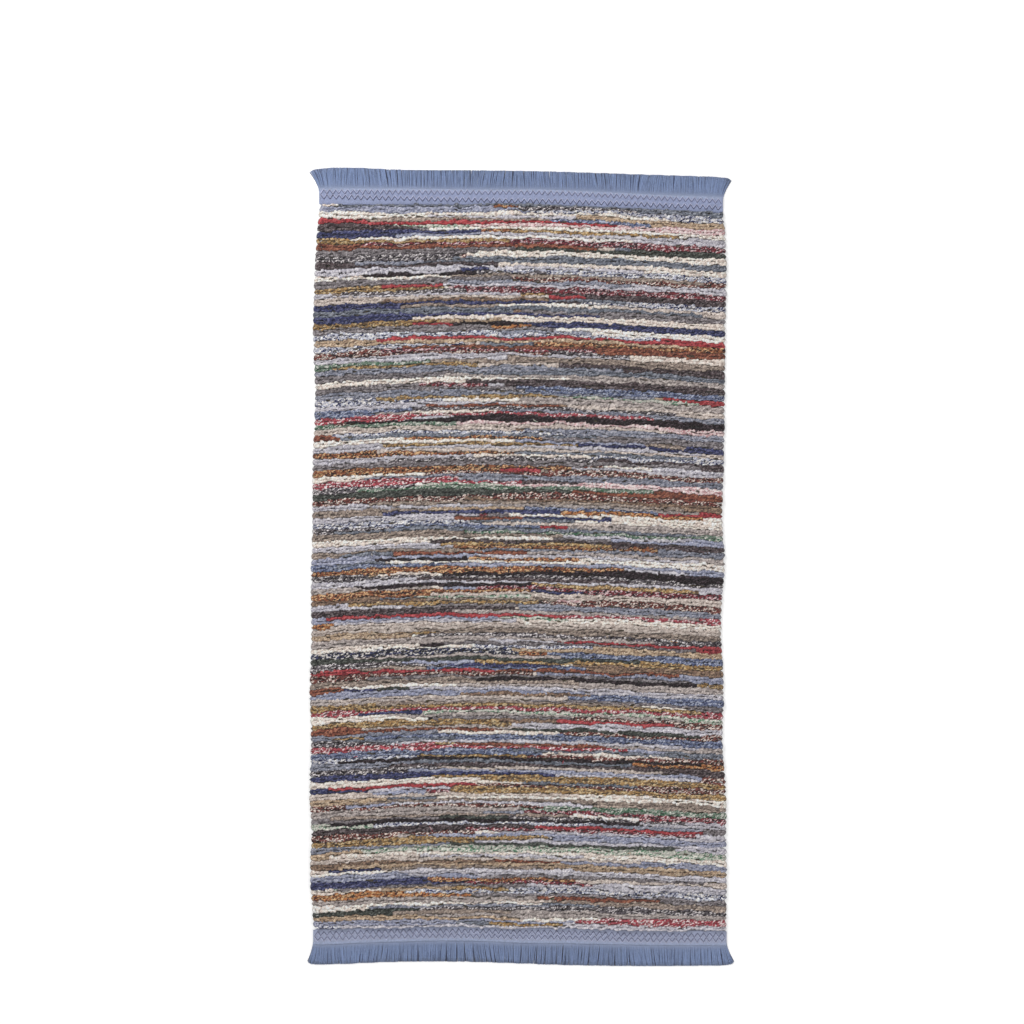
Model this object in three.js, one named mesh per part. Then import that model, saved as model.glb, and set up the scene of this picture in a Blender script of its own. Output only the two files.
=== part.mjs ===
// A hooked rug, laid flat. A thick field of yarn loops is hooked through a ground cloth, whose
// two ends are left bare. A woven heading is sewn over each bare end, and a dense cut fringe
// comes out from under each heading. Units are millimetres: X runs across the rug, Y runs along
// it from the south end to the north end, and Z is up. The origin is under the middle of the
// rug, on the surface that it lies on.
import * as THREE from "three";

const clothThickness = 2;
const rugThickness = 10;
const seamGap = 0.3;
const pileGap = 0.9;
const rootGap = 1;
const bareEndLength = 22;
const headingThickness = 1.2;
const fringeThickness = clothThickness;
const halfWidth = 385;

const fieldBands = 44;
const fieldColumns = 9;
const headingColumns = 28;
const toothCount = 76;
const slotAtRoot = 0.5;
const slotAtTip = 1.3;

// The side edges wander where the yarn turns back: their places at heights along the rug.
const sides = [
  { along: -711, left: -389, right: 387 },
  { along: -665, left: -391, right: 388 },
  { along: -580, left: -397, right: 389 },
  { along: -505, left: -394, right: 388 },
  { along: -410, left: -398, right: 387 },
  { along: -345, left: -395, right: 381 },
  { along: -230, left: -397, right: 383 },
  { along: -110, left: -394, right: 378 },
  { along: -50, left: -395, right: 381 },
  { along: 20, left: -394, right: 386 },
  { along: 60, left: -392, right: 381 },
  { along: 190, left: -392, right: 383 },
  { along: 323, left: -387, right: 385 },
  { along: 430, left: -391, right: 386 },
  { along: 550, left: -388, right: 388 },
  { along: 624, left: -384, right: 386 },
  { along: 672, left: -379, right: 381 },
  { along: 711, left: -378, right: 378 },
];

// The lines across each end: where the pile stops, where the heading stops, and where the
// fringe is trimmed. Both ends are a little crooked.
const northEnd = [
  { across: -385, pile: 681, heading: 711, fringe: 749 },
  { across: -330, pile: 681, heading: 711, fringe: 750 },
  { across: -230, pile: 681, heading: 711, fringe: 746 },
  { across: -100, pile: 681, heading: 709, fringe: 745 },
  { across: 40, pile: 681, heading: 709, fringe: 743 },
  { across: 230, pile: 673, heading: 701, fringe: 737 },
  { across: 385, pile: 665, heading: 695, fringe: 732 },
];
const southEnd = [
  { across: -385, pile: -682, heading: -711, fringe: -748 },
  { across: -230, pile: -677, heading: -705, fringe: -742 },
  { across: -100, pile: -676, heading: -703, fringe: -742 },
  { across: 0, pile: -678, heading: -707, fringe: -745 },
  { across: 80, pile: -679, heading: -708, fringe: -748 },
  { across: 230, pile: -684, heading: -711, fringe: -750 },
  { across: 385, pile: -684, heading: -712, fringe: -749 },
];

// The pile's rounded shoulders. At a side, the loops bulge out over the ground cloth.
const sideShoulder = [
  { inset: 0, under: 1.5, rise: 5 },
  { inset: 1.5, under: 3, rise: 8.5 },
  { inset: 5, under: 5, rise: rugThickness },
];
const endShoulder = [
  { outward: bareEndLength, rise: clothThickness },
  { outward: 0, rise: clothThickness },
  { outward: -0.6, rise: 6 },
  { outward: -2, rise: 8.8 },
  { outward: -5, rise: rugThickness },
];

// How far the threads spread past the heading at each corner, and how much shorter the corner
// threads lie for it.
const corners = {
  north: { leftSpread: 18, leftDrop: 8, rightSpread: 18, rightDrop: 3 },
  south: { leftSpread: 11, leftDrop: 3, rightSpread: 14, rightDrop: 2 },
};
const cornerReach = 22;
const trimUnevenness = 0.6;

// Gives a smooth function through a table's rows, from the key column to the other columns.
function curveThrough(table, key) {
  const columns = Object.keys(table[0]).filter((name) => name !== key);
  const keys = table.map((row) => row[key]);
  const values = table.flatMap((row) => columns.map((name) => row[name]));
  const curve = new THREE.CubicInterpolant(keys, values, columns.length);
  return (at) => {
    const found = curve.evaluate(at);
    return Object.fromEntries(columns.map((name, index) => [name, found[index]]));
  };
}

const sidesAt = curveThrough(sides, "along");
const northAt = curveThrough(northEnd, "across");
const southAt = curveThrough(southEnd, "across");

// The gentle hills and hollows of a hand-hooked pile.
function pileSwell(x, y) {
  return 0.3 * Math.sin(x / 67 + 1.3) * Math.sin(y / 91) + 0.2 * Math.sin(x / 31 - y / 47);
}

// Builds a closed sheet from a grid of places, each with a point on its upper face and one on
// its lower face. Rows run from south to north and columns from left to right.
function closedSheet(rowCount, columnCount, placeAt) {
  const positions = [];
  for (let row = 0; row < rowCount; row += 1) {
    for (let column = 0; column < columnCount; column += 1) {
      const { upper, lower } = placeAt(row, column);
      positions.push(...upper, ...lower);
    }
  }
  const upper = (row, column) => 2 * (row * columnCount + column);
  const lower = (row, column) => upper(row, column) + 1;
  const triangles = [];
  const quad = (a, b, c, d) => triangles.push(a, b, c, a, c, d);
  for (let row = 0; row < rowCount - 1; row += 1) {
    for (let column = 0; column < columnCount - 1; column += 1) {
      const next = column + 1;
      quad(upper(row, column), upper(row, next), upper(row + 1, next), upper(row + 1, column));
      quad(lower(row, column), lower(row + 1, column), lower(row + 1, next), lower(row, next));
    }
  }
  const lastRow = rowCount - 1;
  const lastColumn = columnCount - 1;
  for (let column = 0; column < lastColumn; column += 1) {
    const next = column + 1;
    quad(lower(0, column), lower(0, next), upper(0, next), upper(0, column));
    quad(lower(lastRow, next), lower(lastRow, column), upper(lastRow, column), upper(lastRow, next));
  }
  for (let row = 0; row < lastRow; row += 1) {
    quad(lower(row + 1, 0), lower(row, 0), upper(row, 0), upper(row + 1, 0));
    quad(
      lower(row, lastColumn), lower(row + 1, lastColumn), upper(row + 1, lastColumn), upper(row, lastColumn),
    );
  }
  const geometry = new THREE.BufferGeometry();
  geometry.setAttribute("position", new THREE.Float32BufferAttribute(positions, 3));
  geometry.setIndex(triangles);
  geometry.computeVertexNormals();
  return geometry;
}

// The field's columns: a shoulder at each side, and evenly spaced ones between.
function listFieldColumns() {
  const left = sideShoulder.map(({ inset, under, rise }) => ({ share: 0, shift: inset, under, rise }));
  const right = left.map((column) => ({ ...column, share: 1, shift: -column.shift, under: -column.under }));
  const middle = [];
  for (let index = 1; index < fieldColumns; index += 1) {
    middle.push({ share: index / fieldColumns, shift: 0, under: 0, rise: rugThickness });
  }
  return [...left, ...middle, ...right.reverse()];
}

// The field's rows: a bare end and a shoulder at each end, and evenly spaced ones between.
function listFieldRows() {
  const south = endShoulder.map(({ outward, rise }) => ({ share: 0, shift: -outward, rise }));
  const north = south.map((row) => ({ ...row, share: 1, shift: -row.shift }));
  const middle = [];
  for (let index = 1; index < fieldBands; index += 1) {
    middle.push({ share: index / fieldBands, shift: 0, rise: rugThickness });
  }
  return [...south, ...middle, ...north.reverse()];
}

function makeField() {
  const columns = listFieldColumns();
  const rows = listFieldRows();
  return closedSheet(rows.length, columns.length, (rowIndex, columnIndex) => {
    const row = rows[rowIndex];
    const column = columns[columnIndex];
    const across = THREE.MathUtils.lerp(-halfWidth, halfWidth, column.share);
    const y = THREE.MathUtils.lerp(southAt(across).pile, northAt(across).pile, row.share) + row.shift;
    const side = sidesAt(y);
    const x = THREE.MathUtils.lerp(side.left, side.right, column.share);
    const rise = Math.min(column.rise, row.rise);
    const swell = rise === rugThickness ? pileSwell(x, y) : 0;
    return { upper: [x + column.shift, y, rise + swell], lower: [x + column.under, y, 0] };
  });
}

// A heading lies on the bare end of the cloth, from the pile to a little past the cloth's end.
function makeHeading(endAt, outward) {
  const base = clothThickness + seamGap;
  return closedSheet(2, headingColumns + 1, (rowIndex, columnIndex) => {
    const share = columnIndex / headingColumns;
    const line = endAt(THREE.MathUtils.lerp(-halfWidth, halfWidth, share));
    const isOuter = (rowIndex === 1) === (outward > 0);
    const y = isOuter ? line.heading : line.pile + outward * pileGap;
    const side = sidesAt(y);
    const x = THREE.MathUtils.lerp(side.left, side.right, share);
    return { upper: [x, y, base + headingThickness], lower: [x, y, base] };
  });
}

// How far a thread's tip lies to the right of its root: the threads lean in loose groups, and
// spread at the corners. place is the root's distance from the left edge.
function leanOf(place, width, spread) {
  const groups = 2.2 * Math.sin(place / 53 + 2) + 1.3 * Math.sin(place / 23);
  const atLeft = spread.leftSpread * Math.exp(-place / cornerReach);
  const atRight = spread.rightSpread * Math.exp((place - width) / cornerReach);
  return groups * Math.min(1, place / 60, (width - place) / 60) - atLeft + atRight;
}

// How much shorter a thread lies near a corner, where it runs aslant.
function dropOf(place, width, spread) {
  const atLeft = spread.leftDrop * Math.exp((-2.5 * place) / cornerReach);
  const atRight = spread.rightDrop * Math.exp((2.5 * (place - width)) / cornerReach);
  return atLeft + atRight + trimUnevenness * Math.sin(place * 1.7);
}

// A fringe is one comb: a root strip under the heading's edge, and a tooth for each lock of
// threads. Its outline is drawn from the strip's inner edge, round by the teeth.
function makeFringe(endAt, outward, spread) {
  const edge = sidesAt(endAt(0).heading);
  const width = edge.right - edge.left;
  const pitch = width / toothCount;
  const inner = [];
  const outer = [];
  for (let index = 0; index <= headingColumns; index += 1) {
    const x = edge.left + (width * index) / headingColumns;
    inner.push(new THREE.Vector2(x, endAt(x).pile + outward * (bareEndLength + rootGap)));
  }
  const rootAt = (place) => new THREE.Vector2(edge.left + place, endAt(edge.left + place).heading);
  const tipAt = (place, trim) => {
    const x = edge.left + place + leanOf(place, width, spread);
    return new THREE.Vector2(x, endAt(x).fringe - outward * trim);
  };
  for (let tooth = 0; tooth < toothCount; tooth += 1) {
    const from = tooth * pitch;
    const to = from + pitch;
    const firstSlot = tooth > 0 ? 0.5 : 0;
    const lastSlot = tooth < toothCount - 1 ? 0.5 : 0;
    outer.push(rootAt(from + firstSlot * slotAtRoot));
    outer.push(tipAt(from + firstSlot * slotAtTip, dropOf(from, width, spread)));
    outer.push(tipAt(to - lastSlot * slotAtTip, dropOf(to, width, spread)));
    outer.push(rootAt(to - lastSlot * slotAtRoot));
  }
  const outline = new THREE.Shape([...inner, ...outer.reverse()]);
  return new THREE.ExtrudeGeometry(outline, { depth: fringeThickness, bevelEnabled: false });
}

function makePiece(name, geometry, colour, roughness) {
  const material = new THREE.MeshStandardMaterial({ color: colour, roughness, metalness: 0 });
  const piece = new THREE.Mesh(geometry, material);
  piece.name = name;
  return piece;
}

const pileGrey = 0x87808a;
const headingBlue = 0x9a9fc0;
const fringeBlue = 0x6c7a9e;

const rug = new THREE.Group();
rug.add(makePiece("rug_field", makeField(), pileGrey, 0.95));
rug.add(makePiece("heading_north", makeHeading(northAt, 1), headingBlue, 0.85));
rug.add(makePiece("heading_south", makeHeading(southAt, -1), headingBlue, 0.85));
rug.add(makePiece("fringe_north", makeFringe(northAt, 1, corners.north), fringeBlue, 0.9));
rug.add(makePiece("fringe_south", makeFringe(southAt, -1, corners.south), fringeBlue, 0.9));

export default rug;
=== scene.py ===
import math
import bpy
import numpy as np
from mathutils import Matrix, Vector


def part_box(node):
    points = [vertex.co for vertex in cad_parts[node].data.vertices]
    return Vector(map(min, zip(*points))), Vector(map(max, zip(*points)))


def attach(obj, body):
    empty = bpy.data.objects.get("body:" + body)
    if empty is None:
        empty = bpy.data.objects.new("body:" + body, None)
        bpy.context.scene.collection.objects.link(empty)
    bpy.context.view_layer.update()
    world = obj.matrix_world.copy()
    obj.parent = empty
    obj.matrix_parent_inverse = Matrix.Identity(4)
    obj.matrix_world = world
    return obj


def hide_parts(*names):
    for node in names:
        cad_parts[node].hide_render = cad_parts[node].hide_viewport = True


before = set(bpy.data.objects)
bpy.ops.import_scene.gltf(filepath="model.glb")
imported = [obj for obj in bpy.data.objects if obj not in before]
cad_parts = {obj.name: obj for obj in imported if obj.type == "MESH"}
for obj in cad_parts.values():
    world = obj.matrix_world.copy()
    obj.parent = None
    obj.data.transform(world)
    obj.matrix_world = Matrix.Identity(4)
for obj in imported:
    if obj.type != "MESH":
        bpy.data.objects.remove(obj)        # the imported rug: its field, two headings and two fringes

mm = 0.001
scene = bpy.context.scene
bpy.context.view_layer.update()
print("frame loaded:", ", ".join(sorted(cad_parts)))

overhead = dict(lens=100, sensor=36, clipEnd=100, widthSeen=1.925, east=-0.016, north=0.103)
studio = dict(world=0.5, key=75, keyPlace=(-1.9, 2.0, 2.7), keySize=1.8,
              fill=30, fillPlace=(2.4, -1.6, 2.6), fillSize=2.4)
floor = dict(halfSize=30, colour=0.82, glow=0.34, farGlow=0.75, nearTo=1.3, farFrom=4, below=0.1)


def placeCamera():
    lens = bpy.data.cameras.new("overheadCamera")
    lens.lens = overhead["lens"]
    lens.sensor_width = overhead["sensor"]
    lens.clip_end = overhead["clipEnd"]
    eye = bpy.data.objects.new("overheadCamera", lens)
    height = overhead["widthSeen"] * overhead["lens"] / overhead["sensor"]
    eye.location = (overhead["east"], overhead["north"], height)    # looks straight down, north is up
    scene.collection.objects.link(eye)
    scene.camera = eye


def placeLamp(name, place, size, power):
    lamp = bpy.data.lights.new(name, "AREA")
    lamp.energy = power
    lamp.size = size
    holder = bpy.data.objects.new(name, lamp)
    holder.location = place
    holder.rotation_euler = (-holder.location).to_track_quat("-Z", "Y").to_euler()
    scene.collection.objects.link(holder)


def seenByEye(nodes, links):    # 1 for what the eye or a reflection sees, 0 for light on the rug
    path = nodes.new("ShaderNodeLightPath")
    either = nodes.new("ShaderNodeMath")
    either.operation = "MAXIMUM"
    links.new(path.outputs["Is Camera Ray"], either.inputs[0])
    links.new(path.outputs["Is Glossy Ray"], either.inputs[1])
    return either.outputs[0]


def lightWorld():
    world = bpy.data.worlds.new("studioWorld")
    world.use_nodes = True
    nodes, links = world.node_tree.nodes, world.node_tree.links
    strength = nodes.new("ShaderNodeMapRange")
    strength.inputs["To Min"].default_value = studio["world"]
    strength.inputs["To Max"].default_value = 1
    links.new(seenByEye(nodes, links), strength.inputs["Value"])
    links.new(strength.outputs[0], nodes["Background"].inputs["Strength"])
    nodes["Background"].inputs["Color"].default_value = (1, 1, 1, 1)
    scene.world = world


def layFloor():
    half, z = floor["halfSize"], -floor["below"] * mm
    mesh = bpy.data.meshes.new("studioFloor")
    corners = [(-half, -half, z), (half, -half, z), (half, half, z), (-half, half, z)]
    mesh.from_pydata(corners, [], [(0, 1, 2, 3)])
    plane = bpy.data.objects.new("studioFloor", mesh)
    scene.collection.objects.link(plane)
    material = bpy.data.materials.new("studioFloor")
    material.use_nodes = True
    nodes, links = material.node_tree.nodes, material.node_tree.links
    nodes.clear()
    paint = nodes.new("ShaderNodeBsdfDiffuse")
    paint.inputs["Color"].default_value = (floor["colour"],) * 3 + (1,)
    glow = nodes.new("ShaderNodeEmission")
    level = nodes.new("ShaderNodeMath")
    level.operation = "MULTIPLY"
    distance = nodes.new("ShaderNodeVectorMath")
    distance.operation = "LENGTH"
    links.new(nodes.new("ShaderNodeNewGeometry").outputs["Position"], distance.inputs[0])
    farther = nodes.new("ShaderNodeMapRange")    # the lamps don't reach the far floor, which glows more
    farther.inputs["From Min"].default_value = floor["nearTo"]
    farther.inputs["From Max"].default_value = floor["farFrom"]
    farther.inputs["To Min"].default_value = floor["glow"]
    farther.inputs["To Max"].default_value = floor["farGlow"]
    links.new(distance.outputs["Value"], farther.inputs["Value"])
    links.new(farther.outputs[0], level.inputs[1])
    links.new(seenByEye(nodes, links), level.inputs[0])
    links.new(level.outputs[0], glow.inputs["Strength"])
    both = nodes.new("ShaderNodeAddShader")
    links.new(paint.outputs[0], both.inputs[0])
    links.new(glow.outputs[0], both.inputs[1])
    out = nodes.new("ShaderNodeOutputMaterial")
    links.new(both.outputs[0], out.inputs["Surface"])
    mesh.materials.append(material)


placeCamera()
placeLamp("keyLamp", studio["keyPlace"], studio["keySize"], studio["key"])
placeLamp("fillLamp", studio["fillPlace"], studio["fillSize"], studio["fill"])
lightWorld()
layFloor()
scene.view_settings.view_transform = "Standard"
print("camera, lamps and floor placed")


# Where a frame node's mesh crosses a plane: its lowest and highest place there.
def crossings(node, axis, places):
    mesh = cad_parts[node].data
    points = np.zeros(len(mesh.vertices) * 3)
    mesh.vertices.foreach_get("co", points)
    points = points.reshape(-1, 3)
    ends = np.zeros(len(mesh.edges) * 2, int)
    mesh.edges.foreach_get("vertices", ends)
    first, second = points[ends[0::2]], points[ends[1::2]]
    low, high = [], []
    for place in np.atleast_1d(places):
        near, far = first[:, axis] - place, second[:, axis] - place
        crossed = (near * far <= 0) & (near != far)
        share = near[crossed] / (near[crossed] - far[crossed])
        other = first[crossed, 1 - axis] * (1 - share) + second[crossed, 1 - axis] * share
        low.append(other.min())
        high.append(other.max())
    return np.array(low), np.array(high)


def smooth(share):
    share = np.clip(share, 0, 1)
    return share * share * (3 - 2 * share)


# Smooth chance values, one line of them for each row, read at places from 0 to 1 along it.
def drift(rng, rowCount, knots, places):
    values = rng.normal(0, 1, (rowCount, knots + 1))
    at = np.clip(places, 0, 1) * (knots - 1e-6)
    knot = at.astype(int)
    share = smooth(at - knot)
    return values[:, knot] * (1 - share) + values[:, knot + 1] * share


def linear(colour):    # from everyday 0-255 colour values to light
    colour = np.asarray(colour, float) / 255
    return np.where(colour <= 0.04045, colour / 12.92, ((colour + 0.055) / 1.055) ** 2.4)


outline = dict(alongNorth=0.684, alongSouth=-0.695, alongCount=281, acrossHalf=0.374, acrossCount=151,
               halfWidth=0.385)
alongPlaces = np.linspace(outline["alongSouth"], outline["alongNorth"], outline["alongCount"])
acrossPlaces = np.linspace(-outline["acrossHalf"], outline["acrossHalf"], outline["acrossCount"])
westEdge, eastEdge = crossings("rug_field", 1, alongPlaces)
southHem, southPile = crossings("heading_south", 0, acrossPlaces)
northPile, northHem = crossings("heading_north", 0, acrossPlaces)


def west(y):
    return np.interp(y, alongPlaces, westEdge)


def east(y):
    return np.interp(y, alongPlaces, eastEdge)


def lineAt(line, x):
    return np.interp(x, acrossPlaces, line)


# Builds a mesh object from points, groups of faces with one number of corners each, colours
# for its points, and a flat layout of its faces.
def makePiece(name, points, faceGroups, material, dyes, layout):
    corners = np.concatenate([faces.ravel() for faces in faceGroups])
    sizes = np.concatenate([np.full(len(faces), faces.shape[1]) for faces in faceGroups])
    mesh = bpy.data.meshes.new(name)
    mesh.vertices.add(len(points))
    mesh.vertices.foreach_set("co", np.ascontiguousarray(points, np.float32).ravel())
    mesh.loops.add(len(corners))
    mesh.loops.foreach_set("vertex_index", corners.astype(np.int32))
    mesh.polygons.add(len(sizes))
    mesh.polygons.foreach_set("loop_start", (np.cumsum(sizes) - sizes).astype(np.int32))
    mesh.update(calc_edges=True)
    mesh.shade_smooth()
    for dye, colours in dyes.items():
        layer = mesh.color_attributes.new(dye, "FLOAT_COLOR", "POINT")
        filled = np.concatenate([colours, np.ones((len(colours), 1))], axis=1)
        layer.data.foreach_set("color", filled.astype(np.float32).ravel())
    mesh.uv_layers.new(name="OFBake").data.foreach_set("uv", layout.astype(np.float32).ravel())
    mesh.materials.append(material)
    piece = bpy.data.objects.new(name, mesh)
    scene.collection.objects.link(piece)
    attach(piece, "root")
    return piece


tubeLayout = dict(laneEdge=0.02, capRadius=0.4)


# Skins rings of points into closed tubes. tubeOf numbers the tube that each ring is part of.
# The layout puts the tubes in lanes, one after another.
def makeTubes(name, rings, tubeOf, material, dyes):
    count, sides = rings.shape[:2]
    side = np.arange(sides)
    isFirst = np.concatenate([[True], tubeOf[1:] != tubeOf[:-1]])
    isLast = np.concatenate([isFirst[1:], [True]])
    here, starts, ends = np.flatnonzero(~isLast), np.flatnonzero(isFirst), np.flatnonzero(isLast)
    near, far, after = here[:, None] * sides, (here[:, None] + 1) * sides, (side + 1) % sides
    walls = np.stack([near + side, far + side, far + after, near + after], axis=-1).reshape(-1, 4)
    caps = np.concatenate([starts[:, None] * sides + side, ends[:, None] * sides + side[::-1]])

    slots = np.arange(count) + np.cumsum(isFirst)    # a slot before each tube is for its first cap
    lanes = max(1, round(math.sqrt((count + len(starts)) / sides)))
    perLane = math.ceil((count + len(starts)) / lanes)
    edge, capRadius = tubeLayout["laneEdge"], tubeLayout["capRadius"]

    def place(slot, along, over):
        u = (slot % perLane + along) / perLane
        v = (slot // perLane + edge + (1 - 2 * edge) * over) / lanes
        return np.stack(np.broadcast_arrays(u, v), axis=-1).reshape(-1, 2)

    corner = np.array([[0, 1, 1, 0], [0, 0, 1, 1]])
    wallPlaces = place(slots[here][:, None, None], corner[0], (side[None, :, None] + corner[1]) / sides)
    capSlots = np.concatenate([slots[starts] - 1, slots[ends]])[:, None]
    turn = side * 2 * math.pi / sides
    capPlaces = place(capSlots, 0.5 + capRadius * np.cos(turn), 0.5 + capRadius * np.sin(turn))
    layout = np.concatenate([wallPlaces, capPlaces])
    return makePiece(name, rings.reshape(-1, 3), [walls, caps], material, dyes, layout)


# Rings of a round thread along each path, for paths of shape (threads, places, 3).
def roundRings(paths, radius, sides):
    along = np.gradient(paths, axis=1)
    along /= np.linalg.norm(along, axis=2, keepdims=True) + 1e-12
    right = np.cross(along, [0, 0, 1.0])
    right /= np.linalg.norm(right, axis=2, keepdims=True) + 1e-12
    up = np.cross(right, along)
    angles = np.arange(sides) * 2 * math.pi / sides + math.pi / 2
    spokes = right[:, :, None] * np.cos(angles)[:, None] + up[:, :, None] * np.sin(angles)[:, None]
    return (paths[:, :, None] + spokes * radius[:, :, None, None]).reshape(-1, sides, 3)


sheetLayout = dict(low=0.01, high=0.99, middle=0.48, underShift=0.49, rimFrom=0.98, rimWidth=0.015)


# A closed sheet between the grids of its top and its underside, south to north, west to east.
def makeSheet(name, top, under, material, dyes):
    along, across = top.shape[:2]
    number = np.arange(along * across).reshape(along, across)
    corners = [number[:-1, :-1], number[:-1, 1:], number[1:, 1:], number[1:, :-1]]
    upper = np.stack(corners, axis=-1).reshape(-1, 4)
    lower = upper[:, ::-1] + number.size
    rim = np.concatenate([number[0], number[1:, -1], number[-1, -2::-1], number[-2:0:-1, 0]])
    nextRim = np.roll(rim, -1)
    walls = np.stack([rim + number.size, nextRim + number.size, nextRim, rim], axis=-1)
    low, high, middle = sheetLayout["low"], sheetLayout["high"], sheetLayout["middle"]
    v, u = np.meshgrid(np.linspace(low, high, along), np.linspace(low, middle, across), indexing="ij")
    flat = np.stack([u, v], axis=-1).reshape(-1, 2)
    flat = np.concatenate([flat, flat + [sheetLayout["underShift"], 0]])
    step = np.arange(len(rim))[:, None] + np.array([0, 1, 1, 0])
    rimU = sheetLayout["rimFrom"] + sheetLayout["rimWidth"] * np.array([0, 0, 1, 1]) + 0 * step
    strip = np.stack([rimU, step / len(rim)], axis=-1)
    layout = np.concatenate([flat[upper.ravel()], flat[lower.ravel()], strip.reshape(-1, 2)])
    points = np.concatenate([top.reshape(-1, 3), under.reshape(-1, 3)])
    return makePiece(name, points, [upper, lower, walls], material, dyes, layout)


# What all the yarns, cloths and threads share.
finish = dict(sheenRoughness=0.6, specular=0.2, frayScale=1.3, frayDetail=4, frayRoughness=0.7,
              fibreDetail=3, waver=1.5, waverScale=2, weaveShare=0.4, plyShare=0.9,
              mottleFrom=0.3, mottleTo=0.7, bumpDepth=0.5)


# Yarn and cloth: cells of up to three strands' colours, fine fibres, and a soft bump. A weave
# adds threads that cross, and a ply adds ridges that wind along the yarn.
def threadMaterial(name, look):
    material = bpy.data.materials.new(name)
    material.use_nodes = True
    nodes, links = material.node_tree.nodes, material.node_tree.links
    shader = nodes["Principled BSDF"]
    shader.inputs["Roughness"].default_value = look["roughness"]
    shader.inputs["Sheen Weight"].default_value = look["sheen"]
    shader.inputs["Sheen Roughness"].default_value = finish["sheenRoughness"]
    shader.inputs["Specular IOR Level"].default_value = finish["specular"]
    place = nodes.new("ShaderNodeTexCoord").outputs["Object"]

    def drawOut(run):    # draws a texture out along the yarn, with the yarn's twist
        node = nodes.new("ShaderNodeMapping")
        node.vector_type = "TEXTURE"
        node.inputs["Rotation"].default_value = (0, 0, math.radians(look["twist"]))
        node.inputs["Scale"].default_value = run
        links.new(place, node.inputs["Vector"])
        return node.outputs[0]

    def attribute(dye):
        node = nodes.new("ShaderNodeAttribute")
        node.attribute_name = dye
        return node.outputs["Color"]

    def mathNode(operation, first, second):
        node = nodes.new("ShaderNodeMath")
        node.operation = operation
        for socket, value in zip(node.inputs, (first, second)):
            if isinstance(value, (int, float)):
                socket.default_value = value
            else:
                links.new(value, socket)
        return node.outputs[0]

    def mixColours(factor, first, second):
        node = nodes.new("ShaderNodeMix")
        node.data_type = "RGBA"
        links.new(factor, node.inputs["Factor"])
        links.new(first, node.inputs["A"])
        links.new(second, node.inputs["B"])
        return node.outputs["Result"]

    colour = attribute("mainStrand")
    if look["fleckSize"]:
        cells = nodes.new("ShaderNodeTexVoronoi")
        cells.inputs["Scale"].default_value = 1 / (look["fleckSize"] * mm)
        frayed = nodes.new("ShaderNodeTexNoise")    # frays the flecks' edges
        frayed.inputs["Scale"].default_value = finish["frayScale"] / (look["fleckSize"] * mm)
        frayed.inputs["Detail"].default_value = finish["frayDetail"]
        frayed.inputs["Roughness"].default_value = finish["frayRoughness"]
        links.new(place, frayed.inputs["Vector"])
        shifted = nodes.new("ShaderNodeVectorMath")
        shifted.operation = "MULTIPLY_ADD"
        links.new(frayed.outputs["Color"], shifted.inputs[0])
        shifted.inputs[1].default_value = (look["fleckSize"] * look["fray"] * mm,) * 3
        links.new(drawOut(look["fleckRun"]), shifted.inputs[2])
        links.new(shifted.outputs[0], cells.inputs["Vector"])
        chance = nodes.new("ShaderNodeSeparateColor")
        links.new(cells.outputs["Color"], chance.inputs[0])
        isSide = mathNode("LESS_THAN", chance.outputs[0], look["sideShare"])
        isThird = mathNode("GREATER_THAN", chance.outputs[0], 1 - look["thirdShare"])
        colour = mixColours(isSide, colour, attribute("sideStrand"))
        colour = mixColours(isThird, colour, attribute("thirdStrand"))
    alongYarn = drawOut(look["fibreRun"])
    fibres = nodes.new("ShaderNodeTexNoise")
    fibres.inputs["Scale"].default_value = 1 / (look["fibreSize"] * mm)
    fibres.inputs["Detail"].default_value = finish["fibreDetail"]
    links.new(alongYarn, fibres.inputs["Vector"])
    height = fibres.outputs["Fac"]

    def addThreads(height, vector, direction, size, share):
        threads = nodes.new("ShaderNodeTexWave")
        threads.bands_direction = direction
        threads.inputs["Scale"].default_value = math.pi / 10 / (size * mm)    # one thread in each size
        threads.inputs["Distortion"].default_value = finish["waver"]
        threads.inputs["Detail Scale"].default_value = finish["waverScale"]
        links.new(vector, threads.inputs["Vector"])
        return mathNode("ADD", height, mathNode("MULTIPLY", threads.outputs["Fac"], share))

    if look["weave"]:
        for direction in ("X", "Y"):
            height = addThreads(height, place, direction, look["weave"], finish["weaveShare"])
    if look["ply"]:
        height = addThreads(height, alongYarn, "Y", look["ply"], finish["plyShare"])
    level = nodes.new("ShaderNodeMapRange")
    level.inputs["From Min"].default_value = finish["mottleFrom"]
    level.inputs["From Max"].default_value = finish["mottleTo"]
    level.inputs["To Min"].default_value = 1 - look["mottle"]
    level.inputs["To Max"].default_value = 1 + look["mottle"]
    links.new(fibres.outputs["Fac"], level.inputs["Value"])
    tint = nodes.new("ShaderNodeVectorMath")
    tint.operation = "SCALE"
    links.new(colour, tint.inputs[0])
    links.new(level.outputs[0], tint.inputs["Scale"])
    links.new(tint.outputs[0], shader.inputs["Base Color"])
    bump = nodes.new("ShaderNodeBump")
    bump.inputs["Strength"].default_value = look["bump"]
    bump.inputs["Distance"].default_value = look["fibreSize"] * finish["bumpDepth"] * mm
    links.new(height, bump.inputs["Height"])
    links.new(bump.outputs[0], shader.inputs["Normal"])
    return material


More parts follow.
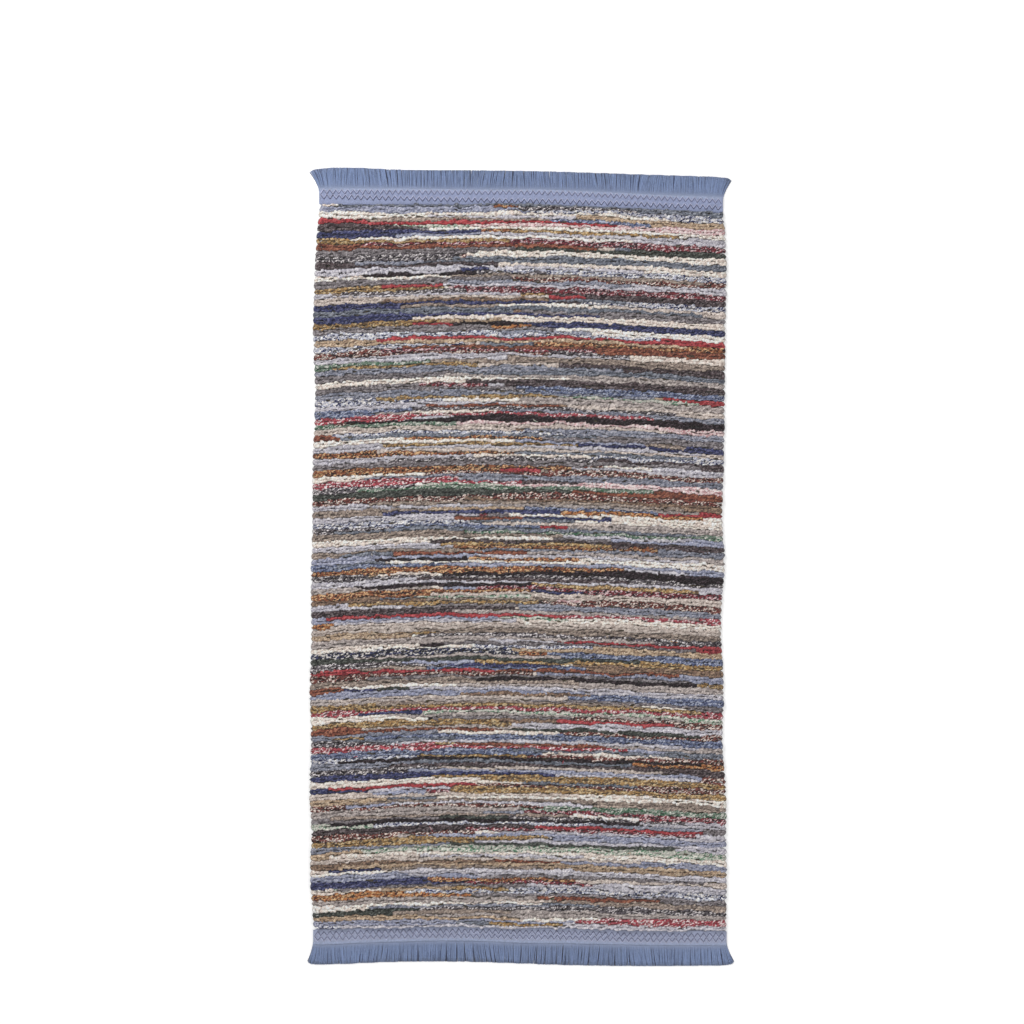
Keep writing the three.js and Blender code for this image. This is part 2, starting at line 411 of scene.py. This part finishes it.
# Yarns that were to hand: the pile piece each belongs to, how often a new end of it is picked
# up, and its strands: most of it, a side strand and a third.
yarns = dict(
    silver=dict(pile="pileSilver", picked=12, strands=[(185, 180, 189), (209, 204, 209), (151, 147, 160)]),
    lilac=dict(pile="pileSilver", picked=8, strands=[(145, 148, 172), (175, 176, 194), (114, 118, 143)]),
    slate=dict(pile="pileSlate", picked=8, strands=[(108, 113, 126), (141, 144, 155), (76, 81, 94)]),
    denim=dict(pile="pileSlate", picked=3, strands=[(99, 109, 141), (160, 166, 186), (58, 65, 96)]),
    steel=dict(pile="pileSlate", picked=9, strands=[(130, 133, 149), (165, 164, 176), (96, 99, 115)]),
    pepper=dict(pile="pileSmoke", picked=7, strands=[(97, 90, 96), (206, 198, 198), (38, 29, 34)]),
    smoke=dict(pile="pileSmoke", picked=8, strands=[(119, 111, 114), (154, 146, 149), (86, 78, 82)]),
    stone=dict(pile="pileStone", picked=7, strands=[(165, 152, 148), (194, 182, 176), (130, 119, 117)]),
    taupe=dict(pile="pileStone", picked=7, strands=[(144, 126, 115), (180, 162, 147), (106, 92, 86)]),
    oat=dict(pile="pileStone", picked=5, strands=[(198, 182, 172), (218, 204, 194), (162, 145, 136)]),
    mint=dict(pile="pileStone", picked=1.5, strands=[(182, 182, 171), (84, 128, 98), (210, 205, 194)]),
    tan=dict(pile="pileEarth", picked=3, strands=[(174, 146, 117), (202, 179, 151), (132, 107, 88)]),
    brown=dict(pile="pileEarth", picked=2.5, strands=[(130, 102, 84), (165, 136, 111), (94, 76, 66)]),
    ochre=dict(pile="pileEarth", picked=6, strands=[(160, 122, 68), (200, 174, 128), (92, 74, 60)]),
    orange=dict(pile="pileEarth", picked=1.5, strands=[(172, 106, 50), (206, 166, 116), (80, 44, 40)]),
    ember=dict(pile="pileEarth", picked=4, strands=[(142, 82, 48), (208, 164, 114), (46, 36, 40)]),
    rust=dict(pile="pileEarth", picked=3, strands=[(128, 68, 50), (166, 104, 76), (86, 47, 40)]),
    charcoal=dict(pile="pileDark", picked=5, strands=[(77, 63, 66), (117, 105, 107), (45, 34, 38)]),
    forest=dict(pile="pileDark", picked=2, strands=[(64, 68, 62), (100, 103, 97), (42, 44, 42)]),
    black=dict(pile="pileDark", picked=2.5, strands=[(37, 26, 30), (72, 60, 66), (23, 16, 19)]),
    night=dict(pile="pileDark", picked=1, strands=[(36, 36, 50), (206, 200, 196), (60, 64, 100)]),
    navy=dict(pile="pileDark", picked=2, strands=[(50, 54, 97), (92, 94, 130), (32, 34, 64)]),
    ink=dict(pile="pileDark", picked=5, strands=[(174, 175, 190), (44, 48, 86), (230, 223, 218)]),
    cream=dict(pile="pileCream", picked=18, strands=[(240, 222, 209), (246, 233, 222), (196, 177, 166)]),
    pink=dict(pile="pileRed", picked=1, strands=[(216, 190, 190), (232, 210, 206), (186, 134, 138)]),
    bark=dict(pile="pileRed", picked=5, strands=[(118, 62, 54), (216, 198, 187), (42, 32, 35)]),
    red=dict(pile="pileRed", picked=5, strands=[(166, 46, 53), (190, 80, 84), (122, 35, 44)]),
    wine=dict(pile="pileRed", picked=4, strands=[(126, 44, 54), (210, 180, 182), (50, 38, 44)]),
    rose=dict(pile="pileRed", picked=2, strands=[(166, 62, 74), (222, 198, 198), (120, 42, 52)]),
    leaf=dict(pile="pileRed", picked=2, strands=[(112, 128, 114), (194, 194, 184), (54, 98, 70)]),
)
rows = dict(count=246, loopPitch=7.7, loopShape=[-1.0, 0.5, 0.5], reach=0.985, spread=1.35, seed=20,
            wander=0.34, wanderKnots=15, fineWander=0.2, fineKnots=50, staggerFade=8,
            top=9.3, under=0.15, rowRise=0.35, swell=0.5, swellAcross=67, swellAlong=91, swellShift=1.3,
            loopRise=0.8, ringRise=0.1, dip=2.0, dipSpread=0.25, dipRange=(0.3, 1.7), bead=0.2,
            sway=0.95, ragged=0.14, tilt=0.05, sideHeight=0.45, crownHeight=0.98, crownWidth=0.56,
            turnDrop=2.6, turnBulge=1.4, turnCalm=0.7, tipSize=0.7,
            changes=[0.04, 0.36, 0.38, 0.22], changeAt=0.41, changeSpread=0.2, changeNear=0.45,
            changeFrom=0.04, changeTo=0.95, apart=5, alike=0.2, contrast=1.3,
            peak=-75, northSettle=150, southSettle=60, westFall=12, westFrom=0.36,
            eastFall=18, eastFrom=0.42, bow=1.7)
# The yarn look's last tones, one for each point of a ring, are painted shade on the loop sides and painted
# light on the loop tops.
yarnLook = dict(roughness=0.95, sheen=0.2, fleckSize=2.0, fleckRun=(2.1, 1, 1), fray=1.1,
                sideShare=0.27, thirdShare=0.27, fibreSize=0.7, fibreRun=(3.5, 1, 1), twist=24, ply=1.9,
                mottle=0.3, bump=1.0, weave=0, fading=0.16, rowTone=0.06, loopTone=0.07, ringTone=0.06,
                paintedShadeAndLight=[0.5, 0.61, 1.13, 1.13, 0.61], palest=0.9)


# Rows run level in the middle and fall away toward both sides, less so near the ends, where
# they follow the headings.
def onField(row, across):
    share = row / rows["count"]
    x = across * outline["halfWidth"]
    peak = rows["peak"] * mm
    northAt, southAt = lineAt(northPile, peak), lineAt(southPile, peak)
    length = (northAt - southAt) / mm
    settled = smooth(share * length / rows["northSettle"])
    settled = settled * smooth((1 - share) * length / rows["southSettle"])
    place = (across + 1) / 2
    westward = np.clip(1 - place / rows["westFrom"], 0, 1)
    eastward = np.clip((place - rows["eastFrom"]) / (1 - rows["eastFrom"]), 0, 1)
    fall = rows["westFall"] * westward ** rows["bow"] + rows["eastFall"] * eastward ** rows["bow"]
    atEnd = np.where(share < 0.5, lineAt(northPile, x) - northAt, lineAt(southPile, x) - southAt)
    y = northAt + (southAt - northAt) * share - settled * fall * mm + (1 - settled) * atEnd
    return west(y) + (east(y) - west(y)) * place, y


# The yarn's way to and fro over the rug: ring by ring, its row, its place and its half widths.
def followYarn(rng):
    count = rows["count"]
    perLoop = len(rows["loopShape"])
    perRow = perLoop * round(2 * outline["halfWidth"] / mm / rows["loopPitch"])
    places = (np.arange(perRow) + 0.5) / perRow
    grid = np.arange(count)[:, None] + 0.5 + rows["wander"] * drift(rng, count, rows["wanderKnots"], places)
    grid += rows["fineWander"] * drift(rng, count, rows["fineKnots"], places)
    grid = np.sort(grid, axis=0)
    toNorth = np.diff(grid, axis=0, prepend=0) / 2
    toSouth = np.diff(grid, axis=0, append=count) / 2
    jitter = np.repeat(rng.uniform(-0.5, 0.5, (count, perRow // perLoop)), perLoop, axis=1) / perRow
    stagger = rng.uniform(-0.5, 0.5, (count, 1)) * perLoop / perRow
    stagger = stagger * (1 - (2 * places - 1) ** rows["staggerFade"])
    across = (2 * (places + jitter + stagger) - 1) * rows["reach"]
    eastward = (np.arange(count) % 2 == 0)[:, None]

    def inOrder(values):
        return np.where(eastward, values, values[:, ::-1])

    left = inOrder(np.where(eastward, toNorth, toSouth))
    right = inOrder(np.where(eastward, toSouth, toNorth))
    grid, across = inOrder(grid), inOrder(across)

    turns = np.array([0.25, 0.5, 0.75])    # the turn into the next row, one loop at the side edge
    bulge = np.sin(turns * math.pi) * rows["turnBulge"] * mm / outline["halfWidth"]
    nextGrid = np.concatenate([grid[1:], grid[-1:]])
    turnRow = grid[:, -1:] + (nextGrid[:, :1] - grid[:, -1:]) * (1 - np.cos(turns * math.pi)) / 2
    turnAcross = np.where(eastward, 1, -1) * (rows["reach"] + bulge)
    half = np.full((count, len(turns)), 0.5)
    path = dict(row=np.concatenate([grid, turnRow], 1), across=np.concatenate([across, turnAcross], 1),
                left=np.concatenate([left, half], 1), right=np.concatenate([right, half], 1))
    path["turning"] = np.concatenate([np.zeros(grid.shape), np.ones(half.shape)], 1)
    path["pass"] = np.broadcast_to(np.arange(count)[:, None], path["row"].shape)
    path["crest"] = np.tile(rows["loopShape"], (count, path["row"].shape[1] // perLoop))
    path["loop"] = (np.arange(path["row"].size) // perLoop).reshape(path["row"].shape)
    return {key: values.ravel()[:-len(turns)] for key, values in path.items()}


# Each row changes yarn once or more, mostly away from its ends, so a yarn goes on round the
# turn and shows two rows thick at the side. No yarn comes again within the last few ends, and
# a dark one more often lies beside a light one.
def pickYarns(rng, path):
    picked = np.array([yarn["picked"] for yarn in yarns.values()], float)
    lightness = np.array([np.mean(yarn["strands"]) / 255 for yarn in yarns.values()])
    changes = []
    for row in range(rows["count"]):
        for change in range(rng.choice([0, 1, 2, 3], p=rows["changes"])):
            near = rng.random() < rows["changeNear"]
            place = rng.normal(rows["changeAt"], rows["changeSpread"]) if near else rng.uniform(0, 1)
            place = min(max(place, rows["changeFrom"]), rows["changeTo"])
            changes.append(row + (place if row % 2 == 0 else 1 - place))
    changes = np.sort(changes)
    order = []
    for run in range(len(changes) + 1):
        chance = picked.copy()
        chance[order[-rows["apart"]:]] = 0
        if len(order) > 1:
            chance *= rows["alike"] + rows["contrast"] * np.abs(lightness - lightness[order[-2]])
        order.append(rng.choice(len(picked), p=chance / chance.sum()))
    share = (path["across"] / rows["reach"] + 1) / 2
    done = np.clip(np.where(path["pass"] % 2 == 0, share, 1 - share), 0, 0.999)    # short of the next row
    yarn = np.array(order)[np.searchsorted(changes, path["pass"] + done)]
    return yarn[path["loop"] * len(rows["loopShape"])]    # a yarn ends between two loops


# A ring of five points: one under the cloth, two at the sides and two on top. The rings of a
# loop rise, lean and swell together.
def loopRings(rng, path):
    x, y = onField(path["row"], path["across"])
    centre = np.stack([x, y], axis=1)
    along = np.gradient(centre, axis=0)
    along /= np.linalg.norm(along, axis=1, keepdims=True)
    leftward = np.stack([-along[:, 1], along[:, 0]], axis=1)
    pitch = (lineAt(northPile, 0) - lineAt(southPile, 0)) / rows["count"]
    count = len(x)

    def perLoop():
        return rng.normal(0, 1, path["loop"][-1] + 1)[path["loop"]]

    crest = path["crest"] * np.clip(1 + rows["dipSpread"] * perLoop(), *rows["dipRange"])
    calm = 1 - rows["turnCalm"] * path["turning"]
    width = pitch * rows["spread"] * (1 + rows["bead"] * crest * calm)
    left = path["left"] * width * (1 + rows["ragged"] * perLoop() * calm)
    right = path["right"] * width * (1 + rows["ragged"] * perLoop() * calm)
    rise = rows["rowRise"] * rng.normal(0, 1, rows["count"])[path["pass"]]
    swell = rows["swell"] * np.sin(x / (rows["swellAcross"] * mm) + rows["swellShift"])
    rise += swell * np.sin(y / (rows["swellAlong"] * mm))
    rise += rows["loopRise"] * perLoop() + rows["dip"] / 2 * crest
    rise -= rows["turnDrop"] * path["turning"]
    top = (rows["top"] + rise + rows["ringRise"] * rng.normal(0, 1, count)) * mm
    tilt = rows["tilt"] * perLoop()
    centre = centre + leftward * (rows["sway"] * mm * perLoop() * calm)[:, None]

    def point(sideways, height):
        return np.concatenate([centre + leftward * sideways[:, None], height[:, None]], axis=1)

    crownWidth, crownHeight = rows["crownWidth"], rows["crownHeight"]
    return np.stack([
        point(np.zeros(count), np.full(count, rows["under"] * mm)),
        point(-right, top * rows["sideHeight"]),
        point(-right * crownWidth, top * (crownHeight + tilt)),
        point(left * crownWidth, top * (crownHeight - tilt)),
        point(left, top * rows["sideHeight"]),
    ], axis=1)


# The last ring of one yarn and the first of the next draw in and meet halfway.
def joinEnds(rings, change):
    middle = (rings[change] + rings[change - 1]) / 2
    centre = middle.mean(axis=1, keepdims=True)
    rings[change] = rings[change - 1] = centre + (middle - centre) * rows["tipSize"]
    return rings


# Each row and each loop took the dye a little differently. The sides of every loop carry painted shade, for
# the dark creases between rows, and the tops carry painted light.
def dyeAndShadeLoops(rng, yarn, path):
    strands = np.array([linear(yarn["strands"]) for yarn in yarns.values()])
    strands += (strands.mean(axis=2, keepdims=True) - strands) * yarnLook["fading"]
    tone = 1 + yarnLook["rowTone"] * rng.normal(0, 1, rows["count"])[path["pass"]]
    tone *= 1 + yarnLook["loopTone"] * rng.normal(0, 1, path["loop"][-1] + 1)[path["loop"]]
    # Painted shade darkens the under and side points of every ring, and painted light brightens its two top
    # points.
    paintedShadeAndLight = np.array(yarnLook["paintedShadeAndLight"])
    uneven = 1 + yarnLook["ringTone"] * rng.normal(0, 1, (len(yarn), len(paintedShadeAndLight)))
    tone = tone[:, None] * paintedShadeAndLight * uneven
    dyes = {}
    for index, dye in enumerate(["mainStrand", "sideStrand", "thirdStrand"]):
        dyes[dye] = np.clip(strands[yarn, index][:, None, :] * tone[:, :, None], 0, yarnLook["palest"])
    return dyes


def hookPile():
    rng = np.random.default_rng(rows["seed"])
    path = followYarn(rng)
    yarn = pickYarns(rng, path)
    changed = np.concatenate([[False], yarn[1:] != yarn[:-1]])
    rings = joinEnds(loopRings(rng, path), np.flatnonzero(changed))
    dyes = dyeAndShadeLoops(rng, yarn, path)
    tubeOf = np.cumsum(changed)
    groups = np.array([yarn["pile"] for yarn in yarns.values()])[yarn]
    material = threadMaterial("loopYarn", yarnLook)
    pieces = []
    for group in sorted(set(groups)):
        mine = groups == group
        groupDyes = {dye: colours[mine].reshape(-1, 3) for dye, colours in dyes.items()}
        piece = makeTubes(str(group), rings[mine], tubeOf[mine], material, groupDyes)
        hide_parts("rug_field")
        pieces.append(piece)
        print(group, "has about", 2 * rings.shape[1] * int(mine.sum()), "triangles")
    return pieces


looseEnds = dict(count=26, places=8, length=(7, 16), radius=0.9, sides=6, seed=9, clearRows=8, spread=0.93,
                 slant=0.9, curl=1.3, heightAt=[0, 0.2, 0.6, 1], height=[7.5, 9.8, 10.6, 10.2],
                 taperAt=[0, 0.85, 1], taper=[1, 1, 0.5])


# Here and there the end of a yarn was left long and lies over the rows.
def layLooseEnds():
    rng = np.random.default_rng(looseEnds["seed"])
    count, t = looseEnds["count"], np.linspace(0, 1, looseEnds["places"])[None, :]
    clear, spread = looseEnds["clearRows"], looseEnds["spread"]
    x, y = onField(rng.uniform(clear, rows["count"] - clear, count), rng.uniform(-spread, spread, count))
    length = rng.uniform(*looseEnds["length"], (count, 1)) * mm
    slant, curl = looseEnds["slant"], looseEnds["curl"]
    way = rng.uniform(-slant, slant, (count, 1)) + np.where(rng.random((count, 1)) < 0.5, 0, math.pi)
    way = way + rng.uniform(-curl, curl, (count, 1)) * t
    step = length / (looseEnds["places"] - 1)
    pathX = x[:, None] + np.cumsum(np.cos(way) * step, axis=1)
    pathY = y[:, None] + np.cumsum(np.sin(way) * step, axis=1)
    height = np.interp(t, looseEnds["heightAt"], looseEnds["height"]) * mm * np.ones((count, 1))
    taper = np.interp(t, looseEnds["taperAt"], looseEnds["taper"])
    radius = looseEnds["radius"] * mm * taper * np.ones((count, 1))
    rings = roundRings(np.stack([pathX, pathY, height], axis=-1), radius, looseEnds["sides"])
    strands = np.array([linear(yarn["strands"]) for yarn in yarns.values()])
    strands = strands[rng.integers(0, len(yarns), count)]
    perEnd = looseEnds["places"] * looseEnds["sides"]
    dyes = {dye: np.repeat(strands[:, index], perEnd, axis=0)
            for index, dye in enumerate(["mainStrand", "sideStrand", "thirdStrand"])}
    material = bpy.data.materials["loopYarn"]
    loose = makeTubes("looseEnds", rings, np.repeat(np.arange(count), looseEnds["places"]), material, dyes)
    return loose


ground = dict(columns=20, rows=48, inset=12, top=1.8, under=0.6, bareEnd=20,
              wave=0.12, waveAcross=40, waveAlong=50, threads=(176, 164, 142))
groundLook = dict(roughness=0.9, sheen=0.1, fleckSize=0, fibreSize=1.2, fibreRun=(1, 1, 1),
                  twist=0, ply=0, mottle=0.25, bump=0.6, weave=1.6)


def makeGround():
    inset, bareEnd = ground["inset"] * mm, ground["bareEnd"] * mm
    columns, places = np.linspace(0, 1, ground["columns"] + 1), np.linspace(0, 1, ground["rows"] + 1)
    across, share = np.meshgrid(columns, places)
    line = (across * 2 - 1) * outline["halfWidth"]
    south, north = lineAt(southPile, line) - bareEnd, lineAt(northPile, line) + bareEnd
    y = south + (north - south) * share
    x = west(y) + inset + (east(y) - west(y) - 2 * inset) * across
    wave = ground["wave"] * mm * np.sin(x / (ground["waveAcross"] * mm))
    wave = wave * np.sin(y / (ground["waveAlong"] * mm))
    top = np.stack([x, y, ground["top"] * mm + wave], axis=-1)
    under = np.stack([x, y, ground["under"] * mm + wave], axis=-1)
    dyes = dict(mainStrand=np.tile(linear(ground["threads"]), (2 * x.size, 1)))
    cloth = makeSheet("groundCloth", top, under, threadMaterial("groundWeave", groundLook), dyes)
    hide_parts("rug_field")
    print("ground cloth laid under the pile")


heading = dict(columns=320, rows=10, under=2.3, top=3.5, tucked=2.5, tuckFade=0.01,
               puff=0.35, puffAcross=19, puffAlong=6, puffShift=0.7, finePuff=0.6, fineAcross=8.5,
               fineAlong=4.2, edgeFrom=0.93, edgeDrop=0.5, edgeCloth=(164, 176, 206), edgeShare=0.75,
               edgeBlend=0.2, tone=0.05)
headingLook = dict(roughness=0.85, sheen=0.2, fleckSize=0, fibreSize=1.3, fibreRun=(1, 1, 1),
                   twist=0, ply=0, mottle=0.22, bump=0.8, weave=1.2)
# Two zigzag rows hold each heading down: how far from the pile at the west, the middle and the
# east, how far each swings, and how long its stitches are.
# Each zigzag also gets a pale tube beside it, a painted highlight on the puckered cloth.
stitching = dict(points=8, radius=0.75, sides=5, lift=0.6, sunk=0.1, flatness=4, inset=0.004,
                 swings=(0.85, 1.1), stray=0.2, tone=0.15, highlightAside=1.7, pale=(184, 188, 212),
                 north=[dict(west=13.5, middle=4.6, east=8, swing=4.4, period=11.6, dye=(62, 66, 104)),
                        dict(west=22.5, middle=20.5, east=20, swing=4.2, period=11.4, dye=(98, 102, 136))],
                 south=[dict(west=7, middle=7.5, east=7, swing=4.5, period=11.6, dye=(80, 84, 114)),
                        dict(west=16, middle=16.5, east=15.5, swing=4.3, period=11.8, dye=(88, 92, 122))])
# The lower threads' dark blue is painted shade, for the shadow in the gaps between the clumps above.
fringe = dict(threads=2200, along=[0, 0.13, 0.3, 0.55, 0.8, 1], radius=0.64, underRadius=0.95, sides=3,
              underEvery=3, rootUnder=5, trim=0.6, clump=3.6, clumpShape=3, clumpRun=1600, pull=0.4,
              leastPull=0.1, waist=0.6, lean=3.6, leanRun=53, leanShift=2, fineLean=0.7, fineRun=23,
              clumpLean=0.25, calmWithin=60, stray=0.4, underStray=0.1, leastUpper=0.5,
              cornerReach=16, cornerShare=0.25, cornerCut=6, cutReach=2, bend=1.5, curl=0.35, curlTurn=5,
              liftAt=[0, 0.14, 0.3, 0.6, 1], lift=[1.5, 1.5, 1.5, 0.9, 0.7], liftUneven=0.15,
              upperAt=[0, 0.14, 0.35, 1], upperLift=[0.0, 0.1, 0.75, 0.9],
              taperAt=[0, 0.9, 1], taper=[0.8, 1.0, 0.9], tone=0.12, paleFrom=0.14, paleOver=0.22,
              paleTone=0.9, thread=(136, 154, 192), underThreadPaintedShade=(54, 64, 96))
fringeLook = dict(roughness=0.85, sheen=0.3, fleckSize=0, fibreSize=0.5, fibreRun=(1, 3, 1),
                  twist=0, ply=0, mottle=0.18, bump=0.6, weave=0)
comb = dict(halfWidth=0.392, step=0.002, near=7)
ends = dict(north=dict(pile=northPile, hem=northHem, outward=1, seed=31, cloth=(155, 164, 197)),
            south=dict(pile=southPile, hem=southHem, outward=-1, seed=47, cloth=(163, 170, 196)))


def headingSides(name, end):    # the heading's west and east sides, halfway up its height
    west = (end["pile"][0] + end["hem"][0]) / 2
    east = (end["pile"][-1] + end["hem"][-1]) / 2
    return crossings(name, 1, west)[0][0], crossings(name, 1, east)[1][0]


# How high the heading stands: it swells a little between its stitches.
def headingTop(x, y):
    x, y = x / mm, y / mm
    puff = np.sin(x / heading["puffAcross"] + heading["puffShift"]) * np.sin(y / heading["puffAlong"])
    fine = np.sin(x / heading["fineAcross"]) * np.cos(y / heading["fineAlong"])
    puff = puff + heading["finePuff"] * fine
    return (heading["top"] + heading["puff"] * puff) * mm


def makeHeading(key, end):
    name = "heading_" + key
    westSide, eastSide = headingSides(name, end)
    columns, places = np.linspace(0, 1, heading["columns"] + 1), np.linspace(0, 1, heading["rows"] + 1)
    across, out = np.meshgrid(columns, places)
    if key == "south":
        out = 1 - out
    x = westSide + (eastSide - westSide) * across
    fade = smooth(np.minimum(across, 1 - across) / heading["tuckFade"])
    tuck = end["outward"] * heading["tucked"] * mm * fade
    pile, hem = lineAt(end["pile"], x) - tuck, lineAt(end["hem"], x)
    y = pile + (hem - pile) * out
    edge = smooth((out - heading["edgeFrom"]) / (1 - heading["edgeFrom"]))
    top = np.stack([x, y, headingTop(x, y) - heading["edgeDrop"] * mm * edge], axis=-1)
    under = np.stack([x, y, np.full_like(x, heading["under"] * mm)], axis=-1)
    rng = np.random.default_rng(end["seed"])
    pale = smooth((out - heading["edgeShare"]) / heading["edgeBlend"])[..., None]
    colours = linear(end["cloth"]) * (1 - pale) + linear(heading["edgeCloth"]) * pale
    colours = colours * (1 + heading["tone"] * rng.normal(0, 1, x.shape)[..., None])
    colours = colours.reshape(-1, 3)
    dyes = dict(mainStrand=np.concatenate([colours, colours]))
    sheet = makeSheet("heading" + key.title(), top, under, headingCloth, dyes)
    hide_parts(name)
    return sheet, (float(eastSide - westSide), float(np.abs(hem - pile).mean()))


# Beside the dark thread in each zigzag lies a pale tube, a painted highlight on the puckered cloth along
# the stitch.
def sewHeading(key, end):
    rng = np.random.default_rng(end["seed"] + 1)
    westSide, eastSide = headingSides("heading_" + key, end)
    width, perStitch, inset = eastSide - westSide, stitching["points"], stitching["inset"]
    rings, tubeOf, dye = [], [], []
    for number, row in enumerate(stitching[key]):
        point = np.arange(perStitch * round(width / mm / row["period"]) + 1)
        share = point / point[-1]
        x = westSide + width * (inset + (1 - 2 * inset) * share)
        swing = np.abs((point / perStitch + number / 2) % 1 * 2 - 1) * 2 - 1
        away = np.interp(share, [0, 0.5, 1], [row["west"], row["middle"], row["east"]])
        away = away + row["swing"] * swing * rng.uniform(*stitching["swings"], len(point))
        away = away + stitching["stray"] * rng.normal(0, 1, len(point))
        # The second, pale tube is a painted highlight on the puckered cloth beside the stitch.
        for aside, thread in ((0, row["dye"]), (stitching["highlightAside"], stitching["pale"])):
            y = lineAt(end["pile"], x) + end["outward"] * (away + aside) * mm
            lift = stitching["lift"] * (1 - np.abs(swing) ** stitching["flatness"])
            z = headingTop(x, y) + (lift - stitching["sunk"]) * mm
            radius = stitching["radius"] * mm * np.ones((1, len(point)))
            rings.append(roundRings(np.stack([x, y, z], axis=-1)[None], radius, stitching["sides"]))
            tubeOf.append(np.full(len(point), len(tubeOf)))
            tone = 1 + stitching["tone"] * rng.normal(0, 1, len(point))
            dye.append(linear(thread) * np.repeat(tone, stitching["sides"])[:, None])
    stitches = makeTubes("stitches" + key.title(), np.concatenate(rings), np.concatenate(tubeOf),
                         stitchThread, dict(mainStrand=np.concatenate(dye)))
    return stitches


# The fringe's tips: the reach of the frame's comb near each place.
def tipLine(key):
    half, step, near = comb["halfWidth"], comb["step"], comb["near"]
    places = np.arange(-half, half + step / 4, step)
    low, high = crossings("fringe_" + key, 0, places)
    reach = np.abs(high if key == "north" else low)
    window = np.array([reach[max(0, i - near):i + near + 1].max() for i in range(len(reach))])
    return places, window * (1 if key == "north" else -1)


# Cut threads lie out from under the heading: the darker ones below lie straight, and those on
# top draw together in loose clumps, which lean. More of them fan out at the corners. The dark
# colour of the threads below is painted shade, for the shadow in the gaps between the clumps.
def makeFringe(key, end):
    rng = np.random.default_rng(end["seed"] + 2)
    name = "fringe_" + key
    westSide, eastSide = headingSides("heading_" + key, end)
    lowest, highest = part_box(name)
    westTip, eastTip = lowest[0], highest[0]
    count = fringe["threads"]
    under = np.arange(count) % fringe["underEvery"] == 0
    place = (np.arange(count) + np.where(under, 0.5, rng.uniform(0, 1, count))) / count
    crowd = fringe["cornerShare"] * np.sin(place * 2 * math.pi) / (2 * math.pi)
    root = westSide + (eastSide - westSide) * (place - crowd)
    fromWest, fromEast = (root - westSide) / mm, (eastSide - root) / mm
    flare = (westTip - westSide) * np.exp(-fromWest / fringe["cornerReach"])
    flare = flare + (eastTip - eastSide) * np.exp(-fromEast / fringe["cornerReach"])
    shape, clumps = fringe["clumpShape"], round(fringe["clumpRun"] / fringe["clump"])
    gaps = rng.gamma(shape, fringe["clump"] / shape, clumps) * mm
    centres = westSide + np.cumsum(gaps) - gaps[0] / 2
    clump = np.abs(root[:, None] - centres[None, :]).argmin(axis=1)
    pull = fringe["pull"] * rng.uniform(fringe["leastPull"], 1, len(centres))[clump]
    leaning = np.sin(fromWest / fringe["leanRun"] + fringe["leanShift"])
    leaning = fringe["lean"] * (leaning + fringe["fineLean"] * np.sin(fromWest / fringe["fineRun"]))
    ownLean = fringe["clumpLean"] * fringe["lean"] * rng.normal(0, 1, len(centres))[clump]
    leaning += ownLean * np.where(under, 0, 1)
    calm = np.clip(np.minimum(fromWest, fromEast) / fringe["calmWithin"], 0, 1)
    upper = np.where(under, 0, rng.uniform(fringe["leastUpper"], 1, count))
    drawn = (centres[clump] - root) * pull * np.where(under, 0, 1)
    stray = np.where(under, fringe["underStray"], fringe["stray"]) * mm * rng.normal(0, 1, count)
    leaning = leaning * calm * mm
    tipX = np.clip(root + flare + leaning + drawn * (1 - fringe["waist"]) + stray, westTip, eastTip)

    hem = lineAt(end["hem"], root)
    start = hem - end["outward"] * fringe["rootUnder"] * mm
    places, tips = tipLine(key)
    cut, reach = fringe["cornerCut"], fringe["cutReach"]
    blunt = cut * np.exp(-fromWest / reach) + cut * np.exp(-fromEast / reach)
    short = np.abs(fringe["trim"] * rng.normal(0, 1, count)) + blunt
    tipY = np.interp(tipX, places, tips) - end["outward"] * mm * short
    t = np.array([fringe["along"]])
    bend = t ** fringe["bend"]
    x = root[:, None] * (1 - bend) + tipX[:, None] * bend
    x = x + drawn[:, None] * fringe["waist"] * np.sin(t * math.pi)
    x = x + fringe["curl"] * mm * np.sin(t * fringe["curlTurn"] + rng.uniform(0, 6.28, (count, 1))) * t
    y = start[:, None] + (tipY - start)[:, None] * t
    lift = np.interp(t, fringe["liftAt"], fringe["lift"])
    z = (lift + upper[:, None] * np.interp(t, fringe["upperAt"], fringe["upperLift"])) * mm
    z = z + fringe["liftUneven"] * mm * rng.normal(0, 1, (count, 1)) * t
    radius = np.where(under, fringe["underRadius"], fringe["radius"])[:, None] * mm
    radius = radius * np.interp(t, fringe["taperAt"], fringe["taper"])
    rings = roundRings(np.stack([x, y, z], axis=-1), radius, fringe["sides"])
    tubeOf = np.repeat(np.arange(count), t.size)
    # The lower threads take a dark colour as painted shade in the gaps between the clumps.
    blue = np.where(under[:, None], linear(fringe["underThreadPaintedShade"]), linear(fringe["thread"]))
    blue = blue * (1 + fringe["tone"] * rng.normal(0, 1, (count, 1)))
    pale = 1 - smooth((t[0] - fringe["paleFrom"]) / fringe["paleOver"])[None, :, None]
    dye = blue[:, None] * (1 - pale) + linear(heading["edgeCloth"]) * fringe["paleTone"] * pale
    dyes = dict(mainStrand=np.repeat(dye.reshape(-1, 3), fringe["sides"], axis=0))
    threads = makeTubes("fringe" + key.title(), rings, tubeOf, fringeThread, dyes)
    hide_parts(name)
    return threads


pile = hookPile() + [layLooseEnds()]
makeGround()
headingCloth = threadMaterial("headingCloth", headingLook)
stitchThread = threadMaterial("stitchThread", dict(fringeLook, mottle=0.2))
fringeThread = threadMaterial("fringeThread", fringeLook)
for key, end in ends.items():
    sheet, flat = makeHeading(key, end)
    sewn = [sewHeading(key, end), makeFringe(key, end)]
    print(key, "heading and fringe sewn on")
